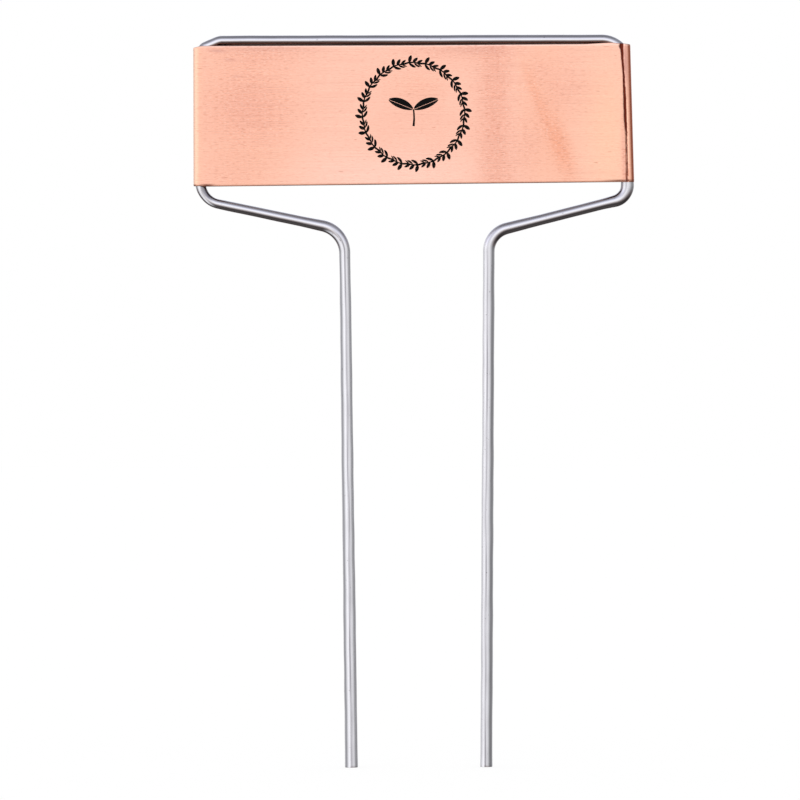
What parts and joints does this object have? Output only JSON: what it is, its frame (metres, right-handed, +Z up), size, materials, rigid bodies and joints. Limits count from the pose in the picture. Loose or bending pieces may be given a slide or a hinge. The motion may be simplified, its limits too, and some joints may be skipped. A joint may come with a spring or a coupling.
{
  "type": "plant label stake",
  "caption": "Plant label stake: a bent wire frame with two legs, holding a rolled copper name plate with a printed leaf wreath.",
  "frame": {"origin": "on the ground line, midway across the plate and the wire's thickness, level with the tips of the legs", "axes": "+Z up along the stake, +X to the right across the plate as it is read, the plate's printed front faces -Y"},
  "size_m": [0.09, 0.0032, 0.1502],
  "materials": {
    "galvanised_wire": "bright galvanised, semi-gloss",
    "copper_sheet": "fine brushed copper, satin",
    "black_print": "matte black film"
  },
  "bodies": {
    "frame": {"wire_frame": "galvanised_wire"},
    "plate": {"name_plate": "copper_sheet", "wreath_print": "black_print", "sprout_print": "black_print"}
  },
  "joints": [
    {"name": "plate_slide", "type": "slide", "parent": "frame", "child": "plate", "axis": [0, 0, 1], "range_m": [-0.003, 0]}
  ]
}
